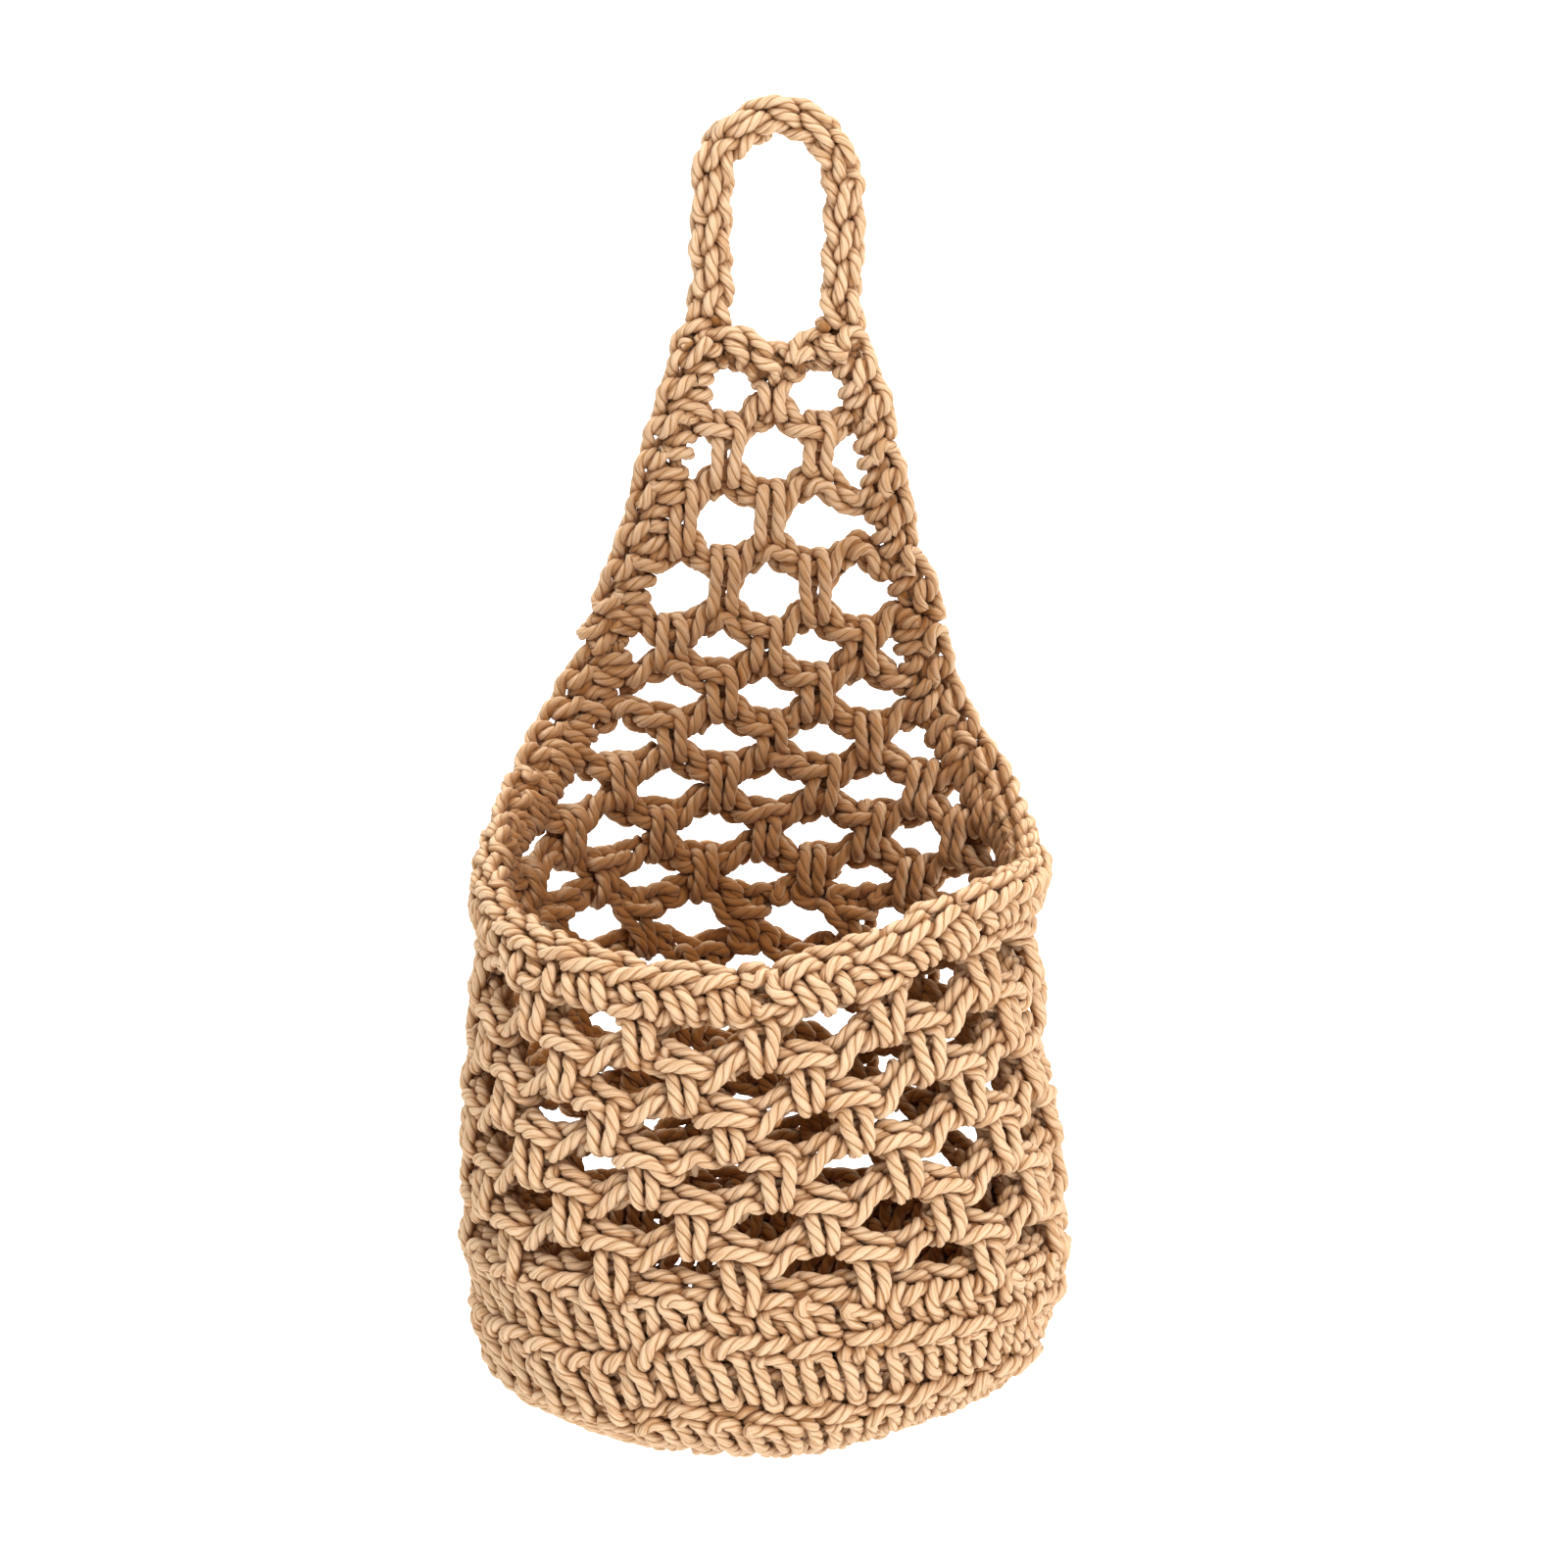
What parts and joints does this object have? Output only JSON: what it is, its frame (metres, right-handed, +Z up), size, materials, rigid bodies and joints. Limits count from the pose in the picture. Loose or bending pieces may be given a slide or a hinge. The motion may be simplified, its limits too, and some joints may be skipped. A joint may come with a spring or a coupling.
{
  "type": "crocheted wall basket",
  "caption": "Oval crocheted cotton cord basket with a dense base, open mesh wall, tapering back panel and a hanging loop.",
  "frame": {"origin": "underside of the hanging loop's top, where a hook carries the basket", "axes": "+Z up, the basket's front faces -Y, the back panel is flat in the plane of X and Z, +X to the right seen from the front"},
  "size_m": [0.164, 0.1471, 0.356],
  "materials": {
    "cotton_cord": "matte twisted cotton cord, natural tan"
  },
  "bodies": {
    "basket": {"base_centre": "cotton_cord", "base_ring_inner": "cotton_cord", "base_ring_outer": "cotton_cord", "turning_round": "cotton_cord", "lower_wall_round": "cotton_cord", "ridge_braid": "cotton_cord", "upper_wall_round": "cotton_cord", "wall_top_braid": "cotton_cord", "mesh_round_1": "cotton_cord", "mesh_round_2": "cotton_cord", "mesh_round_3": "cotton_cord", "mesh_round_4": "cotton_cord", "mesh_round_5": "cotton_cord", "mesh_round_6": "cotton_cord", "rim_row_left": "cotton_cord", "rim_row_right": "cotton_cord", "rim_braid_left": "cotton_cord", "rim_braid_right": "cotton_cord", "back_row_1": "cotton_cord", "back_row_2": "cotton_cord", "back_row_3": "cotton_cord", "back_row_4": "cotton_cord", "back_row_5": "cotton_cord", "fold_row": "cotton_cord", "side_row_left": "cotton_cord", "side_row_right": "cotton_cord", "side_braid_left": "cotton_cord", "side_braid_right": "cotton_cord"},
    "upper_panel": {"panel_row_1": "cotton_cord", "panel_row_2": "cotton_cord", "panel_row_3": "cotton_cord", "panel_row_4": "cotton_cord", "panel_side_row_left": "cotton_cord", "panel_side_row_right": "cotton_cord", "panel_side_braid_left": "cotton_cord", "panel_side_braid_right": "cotton_cord", "top_braid": "cotton_cord"},
    "hanging_loop": {"hanging_loop": "cotton_cord"}
  },
  "joints": [
    {"name": "panel_fold", "type": "hinge", "parent": "basket", "child": "upper_panel", "pos_m": [0, 0, -0.13672], "axis": [1, 0, 0], "range_deg": [-90, 90]},
    {"name": "loop_swing", "type": "hinge", "parent": "upper_panel", "child": "hanging_loop", "pos_m": [0, 0, -0.0525], "axis": [1, 0, 0], "range_deg": [-90, 90]}
  ]
}
